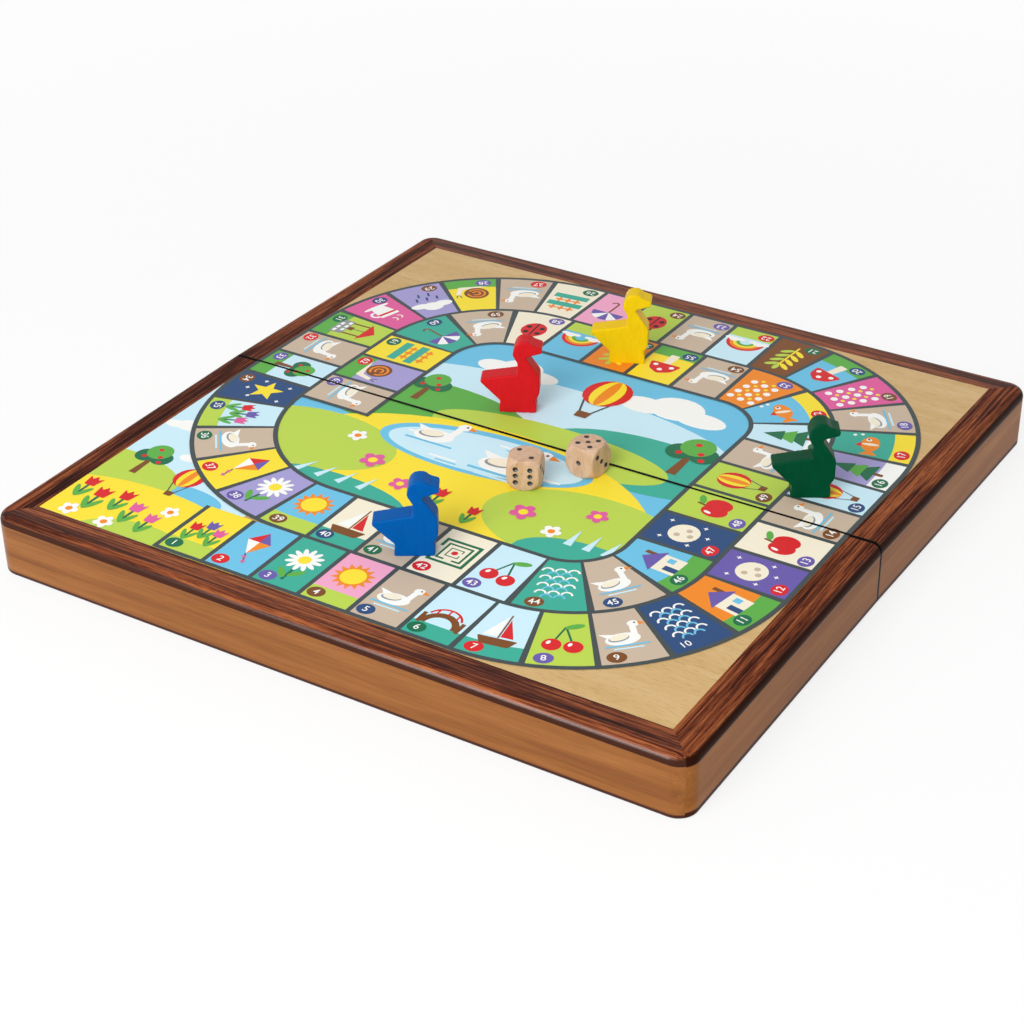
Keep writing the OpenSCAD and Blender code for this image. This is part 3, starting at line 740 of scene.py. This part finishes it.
motifs = dict(  # the space's colour at its first and later uses, its ground, and what is drawn on it
    tulips=("yellow paleSky", "lime", [
        ([at(-6.6, -1)], tulip("red")), ([at(6.6, -1)], tulip("rose")), ([at(0, 3)], tulip("violet")),
    ]),
    kite=("sky yellow", None, [
        ("red", patch, 0, (0, 14), (-6.4, 5.6), (0, 5.6)),
        ("violet", patch, 0, (0, 14), (0, 5.6), (6.4, 5.6)),
        ("white", patch, 0, (-6.4, 5.6), (0, -5), (0, 5.6)),
        ("orange", patch, 0, (0, 5.6), (0, -5), (6.4, 5.6)),
        ("dark", bar, 0, -5, 3.4, -12, 0.7),
        (spots((1.2, -7.6), (2.8, -10.8)), [("rose", star, 0, 0, 4, 2, 0.7)]),
    ]),
    daisy=("teal lilac", None, [
        ("forest", bar, 0, -14, 0, 2, 1.5), ("leaf", oval, 3.4, -7, 1.7, 4.4, -42),
        ("leaf", oval, -3.4, -9, 1.7, 4.4, 42),
        ("white", petals, 0, 4, 12, 5.6, 3.6, 1.3), ("yellow", oval, 0, 4, 3.2),
    ]),
    sun=("pink sky", "lime", [("orange", star, 0, 4, 14, 10.4, 7), ("yellow", oval, 0, 4, 6.2)]),
    boat=("paleSky cream", "teal", [
        ("brown", bar, 0, -5, 0, 13, 0.8), ("white", patch, 0, (-0.8, 12), (-7.4, -4), (-0.8, -4)),
        ("red", patch, 0, (0.8, 9.6), (0.8, -4), (6.8, -4)),
        ("brown", patch, 0.8, (-9.4, -5.2), (-6.6, -10.8), (6.6, -10.8), (9.4, -5.2)),
    ]),
    cherries=("lime paleSky", None, [
        ("forest", bar, -4.4, -3, 1, 9.4, 1), ("forest", bar, 4.6, -4, 1, 9.4, 1),
        ("leaf", oval, 4.8, 9.8, 1.8, 4.4, -72),
        ("red", oval, -4.6, -4, 4.4), ("red", oval, 4.9, -5.4, 4.4),
        (spots((-6, -2.4), (3.4, -3.8)), [("white", oval, 0, 0, 0.9, 1.4, -30)]),
    ]),
    waves=("navy teal", None, [
        ([at(x, y) for x in (-6, 0, 6) for y in (-7, -1, 5, 11)], [("white", arc, 0, 0, 2.4, 1)]),
        ([at(x, y) for x in (-3, 3) for y in (-10, -4, 2, 8)], [("sky", arc, 0, 0, 2.4, 1)]),
    ]),
    house=("orange sky", "leaf", [
        ("brown", patch, 0, (3, 4), (5.4, 4), (5.4, 11), (3, 11)),
        ("cream", patch, 0, (-6.6, -10), (6.6, -10), (6.6, 2), (-6.6, 2)),
        ("violet", patch, 0.5, (-8.8, 1.6), (8.8, 1.6), (0, 10.6)),
        ("navy", patch, 0, (-4.6, -10), (-1, -10), (-1, -3), (-4.6, -3)),
        ("sky", patch, 0, (1.4, -5.4), (5, -5.4), (5, -1.6), (1.4, -1.6)),
    ]),
    moon=("violet navy", None, [
        ("cream", oval, 0, 3, 7.6),
        (spots((-2.4, 5.6), (2.8, 1.6), (-1.4, -0.8)), [("tan", oval, 0, 0, 1.5)]),
        night,
    ]),
    apple=("cream lime", None, [
        ("brown", bar, 0, 5, 1, 10.4, 1.3), ("leaf", oval, 4.4, 9.4, 1.7, 3.8, -62),
        ("red", oval, -2.7, 0, 5.2, 6.6), ("red", oval, 2.7, 0, 5.2, 6.6),
        ("white", oval, -4.8, 2.6, 0.9, 2, -15),
    ]),
    balloon=("paleSky lime", None, balloon),
    fir=("lilac paleSky", "white", [
        ("brown", bar, 0, -12.5, 0, -8, 2.4), ("forest", patch, 0.5, (-8.4, -8), (8.4, -8), (0, 3)),
        ("leaf", patch, 0.5, (-6.8, -2.4), (6.8, -2.4), (0, 8.4)),
        ("forest", patch, 0.5, (-5, 3.4), (5, 3.4), (0, 13.6)),
    ]),
    fish=("teal sky", "yellow", [
        ("orange", patch, 0.6, (-5.4, 2), (-10.8, 6.6), (-10.8, -2.6)),
        ("red", patch, 0.4, (-3.4, 5), (3, 5), (-1.6, 9.6)),
        ("orange", oval, 0.4, 2, 7.4, 4.6), ("cream", oval, 0, 2, 1.2, 4.2),
        ("white", oval, 4.4, 3.2, 1.4), ("black", oval, 4.7, 3.2, 0.7),
        (spots((9.2, 7), (8, 10.6)), [("white", oval, 0, 0, 1)]),
    ]),
    dots=("rose orange", None, [
        ([at(x, y) for x in (-6.6, 0, 6.6) for y in (-6.6, 0, 6.6, 13)], [("white", oval, 0, 0, 1.9)]),
        ([at(x, y) for x in (-3.3, 3.3) for y in (-9.9, -3.3, 3.3, 9.8)], [("yellow", oval, 0, 0, 1.1)]),
    ]),
    mushroom=("sky yellow", "leaf", [
        ("cream", patch, 0.8, (-2.6, -12), (2.6, -12), (1.9, 2), (-1.9, 2)),
        ("red", patch, 1.8, (-8.8, -1.4), (8.8, -1.4), (6.4, 6.6), (0, 10.6), (-6.4, 6.6)),
        (spots((-4.6, 2), (0.4, 6), (4.8, 1.6)), [("white", oval, 0, 0, 1.4)]),
    ]),
    sprig=("brown orange", None, [
        ("yellow", bar, 0, -13, 0, 11, 1.1),
        ([at(0, y) for y in (-8, -2.5, 3, 8.5)], [
            ("yellow", oval, -3.7, 1.6, 1.5, 3.9, 52), ("lime", oval, 3.7, 1.6, 1.5, 3.9, -52),
        ]),
        ("lime", oval, 0, 12.4, 1.5, 3),
    ]),
    rainbow=("paleSky sky", "lime", [
        ("red", arc, 0, -5, 9.8, 1.9), ("orange", arc, 0, -5, 8, 1.9), ("yellow", arc, 0, -5, 6.2, 1.9),
        ("leaf", arc, 0, -5, 4.4, 1.9), ([at(-7, -6, 0.6), at(7, -6, 0.6)], cloud("white")),
    ]),
    ladybird=("lime cream", None, [
        ("black", oval, 0, 8.6, 3.2), ("red", oval, 0, 0, 7, 8.2), ("black", bar, 0, -8, 0, 8.4, 0.9),
        (spots((-3.4, 3.4), (3.4, 3.4), (-3.8, -2.6), (3.8, -2.6)), [("black", oval, 0, 0, 1.5)]),
    ]),
    umbrella=("pink teal", None, [
        ("brown", bar, 0, -9, 0, 3, 1.1), ("brown", arc, 1.8, -9, 1.8, 1.1, 180),
        ("violet", arc, 0, 2, 4.7, 9.4),
        ("white", arc, 0, 2, 4.7, 9.4, 36, 36), ("white", arc, 0, 2, 4.7, 9.4, 108, 36),
    ]),
    checks=("cream yellow", None, [
        ([at(x, y) for x in (-7.5, -2.5, 2.5, 7.5) for y in (-5, 5)],
         [("teal", bar, -2.5, 0, 2.5, 0, 5)]),
        ([at(x, y) for x in (-5, 0, 5) for y in (0, 10)], [("orange", petals, 0, 0, 4, 1.3, 1.3, 0.8)]),
    ]),
    snail=("yellow lilac", "leaf", [
        ("cream", patch, 0.9, (-9.6, -10), (7.6, -10), (10, -0.4), (7.6, 0.6), (5.4, -6.6)),
        ("dark", bar, 8.2, 0, 7, 3.4, 0.6), ("dark", bar, 9, 0, 10, 3.2, 0.6),
        ("brown", oval, -1.6, -1.4, 6.9),
        ("orange", arc, -1.6, -1.4, 4.7, 1.3, 0, 320), ("orange", arc, -1.6, -1.4, 2.1, 1.2, 40, 300),
    ]),
    shower=("lilac sky", None, [
        ([at(0, 6, 1.25)], cloud("white")),
        (spots((-6, -2), (0, -2), (6, -2), (-3, -7), (3, -7)), [("navy", bar, 0, 2, -1, -2, 1.2)]),
    ]),
    cup=("rose paleSky", None, [
        ("white", arc, 6.2, -1, 2.7, 1.4, -110, 220), ("white", oval, 0, -8.6, 8.6, 1.4),
        ("white", patch, 1.2, (-6.4, 4), (-4.4, -7.6), (4.4, -7.6), (6.4, 4)),
        ("red", bar, -5.8, 0.8, 5.8, 0.8, 1.8),
        ("cream", arc, -2, 8.4, 1.8, 0.9, 90, 180), ("cream", arc, 2, 9.4, 1.8, 0.9, 90, 180),
    ]),
    orchard=("paleSky pink", "leaf", appleTree),
    stars=("navy violet", None, [("yellow", star, 0, 2, 5, 9.4, 4), night]),
)
specials = dict(
    goose=("tan tan", None, goose),
    bridge=("paleSky paleSky", "teal", [
        ("brown", arc, 0, -9.4, 8.2, 3.4),
        (spots((-9.8, -9.4), (9.8, -9.4)), [("brown", bar, 0, -1, 0, 7, 2)]),
        ("red", arc, 0, -5, 8.6, 1.1, 20, 140),
        (spots((-5, 1.6), (0, 3.2), (5, 1.6)), [("red", bar, 0, -3.4, 0, 0, 0.9)]),
    ]),
    well=("lime lime", "leaf", [
        ("brown", bar, -6, -6, -6, 7, 1.3), ("brown", bar, 6, -6, 6, 7, 1.3),
        ("red", patch, 0.5, (-9.4, 6.6), (9.4, 6.6), (0, 13.4)),
        ("dark", bar, 0, 6.6, 0, -1, 0.6),
        ("brown", patch, 0.3, (-1.6, -3.6), (1.6, -3.6), (2, -0.4), (-2, -0.4)),
        ("grey", patch, 0.8, (-7.6, -11.4), (7.6, -11.4), (7.6, -3.6), (-7.6, -3.6)),
        ([at(shift + x, y) for y, shift in ((-5.4, -1), (-9.2, 1)) for x in (-4, 0, 4)],
         [("white", bar, -1.4, 0, 1.4, 0, 2)]),
    ]),
    maze=("cream cream", None, [
        ([at(0, 2, size, turn) for size, turn in ((1, 0), (0.68, 90), (0.36, 180))], [
            ("forest", bar, -9, 9, 9, 9, 1.7), ("forest", bar, -9, -9, 9, -9, 1.7),
            ("forest", bar, 9, -9.8, 9, 9.8, 1.7), ("forest", bar, -9, -9.8, -9, -3, 1.7),
            ("forest", bar, -9, 3, -9, 9.8, 1.7),
        ]),
        ("red", oval, 0, 2, 1.6),
    ]),
)

landscape = [  # inside the track, whose lanes cover what runs past its edge
    ("sky", patch, 0, (-130, -90), (90, -90), (90, 90), (-130, 90)),
    ("paleSky", oval, -10, 26, 104, 32, 0, 48),
    ([at(-46, 60, 2.5), at(44, 62, 3.1)], cloud("white")),
    ("teal", oval, 56, 8, 56, 25, 0, 40), ("leaf", oval, -66, 2, 60, 27, 0, 40),
    ("lime", oval, 8, 0, 66, 19, 0, 40),
    ("yellow", oval, -12, -62, 106, 64, 0, 56),
    ("lime", oval, 62, -58, 52, 30, 0, 40), ("lime", oval, -96, -50, 46, 26, 0, 40),
    ("sky", oval, -14, -22, 58, 20, 4, 48), ("paleSky", oval, -14, -22.6, 53, 16.6, 4, 48),
    (spots((-52, -20), (-4, -11), (24, -28), (-30, -35)),
     [("white", bar, -8, 0, 8, 0, 1.2), ("sky", bar, -3, -2.4, 9, -2.4, 1)]),
    ([at(-44, -17, 1.35), at(2, -24, 1.7)], goose),
    ([at(-100, 30, 1.7), at(-76, 22, 1.25), at(72, 26, 1.6)], appleTree),
    ([at(6, 54, 1.7)], balloon),
    ([at(-58, -54, 1.7), at(-34, -66, 1.4), at(30, -58, 1.7), at(62, -44, 1.4)],
     blossom("rose", "yellow")),
    ([at(-78, -38, 1.3), at(50, -66, 1.3)], blossom("white", "orange")),
    ([at(-12, -66, 1.1), at(10, -72, 1)], tulip("red")),
    ("teal", oval, 74, -84, 34, 17, 0, 32), ("teal", oval, -62, -88, 44, 15, 0, 32),
    ([at(x, -76, 1, x / 3) for x in (-84, -72, -60, -48)]
     + [at(x, -68, 1.1, 20 - x / 3) for x in (62, 72, 82)],
     [("paleSky", patch, 0, (-2, -4), (2, -4), (0, 9))]),
]
meadow = [  # the corner before the first space
    ("paleSky", patch, 0, (-172, -172), (-80, -172), (-80, -110), (-117, -86), (-132, -69), (-143, -49),
     (-148, -19), (-172, -19)),
    ([at(-157, -74, 1.3)], cloud("white")), ([at(-130, -98, 1.2)], cloud("white")),
    ("sky", oval, -116, -128, 22, 9, 0, 32),
    ("lime", oval, -164, -124, 40, 18, 0, 40), ("yellow", oval, -128, -166, 74, 38, 0, 48),
    ("lime", oval, -112, -176, 34, 20, 0, 40),
    ([at(-152, -108, 1.2)], appleTree), ([at(-124, -118, 1.05)], balloon),
    ([at(-162, -142, 1.2), at(-151, -148, 1.3), at(-139, -144, 1.2)], tulip("red")),
    ([at(-128, -150, 1.2), at(-116, -154, 1.1)], tulip("rose")),
    ([at(-156, -163, 1.3), at(-134, -164, 1.3), at(-112, -142, 1.2)], blossom("white", "orange")),
]


def trackLegs():  # straight runs and left bends in turn: length, and radius where it bends
    legs, here, cut = [], Vector(sheet["start"]), 0
    for x, y, bend in sheet["corners"]:
        legs += [((Vector((x, y)) - here).length - cut - bend, 0), (bend * math.pi / 2, bend)]
        here, cut = Vector((x, y)), bend
    return legs + [((Vector(sheet["finish"]) - here).length - cut, 0)]


legs = trackLegs()


def trackPlace(distance):  # the place on the track's centre line, x ahead and y to the inner side
    place = at(*sheet["start"])
    for length, bend in legs:
        run = min(distance, length)
        if bend:
            place = place @ at(0, bend) @ at(0, 0, turn=math.degrees(run / bend)) @ at(0, -bend)
        else:
            place = place @ at(run, 0)
        distance -= run
    return place @ at(distance, 0)


def ribbon(start, stop, low, high):  # a strip of the track between two distances and two offsets
    strip = bmesh.new()
    edge = strip.edges.new([strip.verts.new(trackPlace(start) @ Vector((0, y, 0))) for y in (low, high)])
    steps = math.ceil((stop - start) / sheet["stride"])
    places = [trackPlace(start + (stop - start) * k / steps) for k in range(steps + 1)]
    for here, there in zip(places, places[1:]):
        made = bmesh.ops.extrude_edge_only(strip, edges=[edge])["geom"]
        ends = [part for part in made if isinstance(part, bmesh.types.BMVert)]
        bmesh.ops.transform(strip, matrix=there @ here.inverted(), verts=ends)
        edge = next(edge for edge in ends[0].link_edges if edge.other_vert(ends[0]) == ends[1])
    return strip


def clip(art, side, place):  # cuts away what lies beyond a line
    geometry = art.verts[:] + art.edges[:] + art.faces[:]
    bmesh.ops.bisect_plane(
        art, geom=geometry, dist=sheet["touch"], plane_co=place, plane_no=side, clear_outer=True,
    )


def paintTrack(art, level):  # lines lowest, then spaces, their grounds, the motifs and the numbers
    total = sum(length for length, bend in legs)
    edge, inner = (sheet["lane"] + sheet["line"]) / 2, (sheet["lane"] - sheet["line"]) / 2
    pitch, gap = total / sheet["cells"], sheet["line"] / 2
    # the outer lap has its inner line from the lap inside it
    lap = sum(length for length, bend in legs[:sheet["lapLegs"]])
    stamp(art, ribbon(-gap, total + gap, -edge, inner), "dark", Matrix(), level)
    stamp(art, ribbon(lap, total + gap, inner, edge), "dark", Matrix(), level + 1)
    names, used = list(motifs), 0
    for number in range(1, sheet["cells"] + 1):
        start, stop = (number - 1) * pitch + gap, number * pitch - gap
        name = "goose" if number in sheet["geese"] else sheet["special"].get(number)
        if name:
            colours, ground, rows = specials[name]
        else:
            colours, ground, rows = motifs[names[used % len(names)]]
            used += 1
        colour = colours.split()[used > len(names)]
        stamp(art, ribbon(start, stop, -inner, inner), colour, Matrix(), level + 1)
        if ground:
            stamp(art, ribbon(start, stop, -inner, sheet["ground"] - inner), ground, Matrix(), level + 2)
        place = trackPlace((start + stop) / 2)
        top = paint(art, rows, place, level + 3)
        badge = place @ at(*sheet["badge"])
        badgeInk = sheet["badgeInks"][number % len(sheet["badgeInks"])]
        paint(art, [(badgeInk, oval, 0, 0, *sheet["badgeSize"]), ("white", numeral, number)], badge, top)


def makePrint():
    art = bmesh.new()
    paint(art, meadow)
    paintTrack(art, paint(art, landscape))
    bmesh.ops.triangulate(art, faces=art.faces[:])
    art.normal_update()
    bmesh.ops.reverse_faces(art, faces=[face for face in art.faces if face.normal.z < 0])
    top = max(vertex.co.z for vertex in art.verts)
    for side in (front, rear):
        low, high = (corner / mm for corner in ownCorners(f"{halves[side]}_game_sheet", side))
        skin = art.copy()
        # a black strip along the fold: painted shade of the fold's gap
        gapShade = bar(low.x, side * sheet["gapShade"] / 2, high.x, side * sheet["gapShade"] / 2, sheet["gapShade"])
        stamp(skin, gapShade, "black", Matrix.Translation((0, 0, top)), 0)
        for sign in (-1, 1):
            clip(skin, (sign, 0, 0), (low.x if sign < 0 else high.x, 0, 0))
        clip(skin, (0, side, 0), (0, low.y if side < 0 else high.y, 0))
        clip(skin, (0, -side, 0), (0, side * sheet["seam"], 0))
        # the painted shade turns down over the layers at the fold
        near = sheet["seam"] + sheet["brink"]
        brink = {point for point in skin.verts if point.co.z > top and point.co.y * side < near}
        edges = [edge for edge in skin.edges if brink.issuperset(edge.verts)]
        made = bmesh.ops.extrude_edge_only(skin, edges=edges)["geom"]
        ends = [part for part in made if isinstance(part, bmesh.types.BMVert)]
        bmesh.ops.translate(skin, vec=(0, 0, -ends[0].co.z), verts=ends)
        lift = Matrix.Translation((0, 0, high.z * mm)) @ Matrix.Scale(mm, 4)
        bmesh.ops.transform(skin, matrix=halfPlace(side) @ lift, verts=skin.verts)
        finishPiece(f"{halves[side]}_print", skin, f"{halves[side]}_half", inkLooks)
    art.free()


inkLooks = [printInk(name) for name in inks]
makePrint()
print("print made")


# Stage

studio = dict(
    floor="#f6f6f5", floorSize=6, seeThrough=0.8,
    fade=(0.35, 1.1),  # in m: where the floor starts to fade, and is gone
    insideRim=2,  # in mm in from the outer faces: where light starts to pass through the floor
    ambient=0.6,  # strength of the white surround as light, where 1 is white to the eye
    lamps=[  # place, and width and height, in mm, power in watts, and whether it shows in gloss alone
        ("key", (80, -1400, 980), (900, 900), 20, False),
        ("edge_glint", (-640, -1660, 720), (560, 900), 62, True),
        ("rear_glint", (900, 1250, 800), (500, 500), 3, True),
    ],
)


def backgroundSeen(tree):
    # 1 for the rays that show the background: the camera's, and those off gloss or through glass
    rays = addNode(tree, "ShaderNodeLightPath").outputs
    seen = rays["Is Camera Ray"]
    for ray in ("Is Glossy Ray", "Is Transmission Ray"):
        seen = addNode(tree, "ShaderNodeMath", {0: seen, 1: rays[ray]}, 0, operation="MAXIMUM")
    return seen


def makeStage():
    skin = bmesh.new()
    bmesh.ops.create_grid(skin, x_segments=1, y_segments=1, size=studio["floorSize"] / 2)
    mesh = bpy.data.meshes.new("floor")
    skin.to_mesh(mesh)
    skin.free()
    floor = bpy.data.objects.new("floor", mesh)
    scene.collection.objects.link(floor)
    material, tree, shader = newMaterial("pale_floor", Base_Color=linear(studio["floor"]), Roughness=0.9)
    # the white surround shows through part of the floor near the object, and through all of it far off
    place = addNode(tree, "ShaderNodeTexCoord", out="Object")
    away = addNode(tree, "ShaderNodeVectorMath", {0: place}, "Value", operation="LENGTH")
    near, far = studio["fade"]
    span = {"Value": away, "From Min": near, "From Max": far, "To Min": studio["seeThrough"], "To Max": 1}
    gone = addNode(tree, "ShaderNodeMapRange", span, "Result")
    # no floor is seen from below, and light passes through it under the object, so the underside shows
    parts = addNode(tree, "ShaderNodeSeparateXYZ", {"Vector": place}).outputs
    aside, across = (addNode(tree, "ShaderNodeMath", {0: parts[k]}, 0, operation="ABSOLUTE") for k in "XY")
    outer = addNode(tree, "ShaderNodeMath", {0: aside, 1: across}, 0, operation="MAXIMUM")
    covered = cadBox[1][0] - studio["insideRim"] * mm
    under = addNode(tree, "ShaderNodeMath", {0: outer, 1: covered}, 0, operation="LESS_THAN")
    below = addNode(tree, "ShaderNodeNewGeometry", out="Backfacing")
    gone = addNode(tree, "ShaderNodeMath", {0: gone, 1: below}, 0, operation="MAXIMUM")
    shares = {"Factor": backgroundSeen(tree), "A": under, "B": gone}
    share = addNode(tree, "ShaderNodeMix", shares, "Result")
    clear = addNode(tree, "ShaderNodeBsdfTransparent", out="BSDF")
    both = {0: share, 1: shader.outputs["BSDF"], 2: clear}
    surface = addNode(tree, "ShaderNodeMixShader", both, "Shader")
    tree.links.new(surface, tree.nodes["Material Output"].inputs["Surface"])
    mesh.materials.append(material)


def makeLight():
    world = bpy.data.worlds.new("white_surround")
    world.use_nodes = True
    scene.world = world
    tree = world.node_tree
    span = {"Value": backgroundSeen(tree), "To Min": studio["ambient"], "To Max": 1}
    strength = addNode(tree, "ShaderNodeMapRange", span, "Result")
    background = tree.nodes["Background"]
    background.inputs["Color"].default_value = (1, 1, 1, 1)
    tree.links.new(strength, background.inputs["Strength"])
    for name, place, size, power, glint in studio["lamps"]:
        data = bpy.data.lights.new(name, "AREA")
        data.shape = "RECTANGLE"
        data.size, data.size_y = (side * mm for side in size)
        data.energy = power
        lamp = bpy.data.objects.new(name, data)
        lamp.location = Vector(place) * mm
        lamp.rotation_euler = lamp.location.to_track_quat("Z", "Y").to_euler()
        lamp.visible_diffuse = not glint
        scene.collection.objects.link(lamp)


makeStage()
makeLight()
print("stage lit")
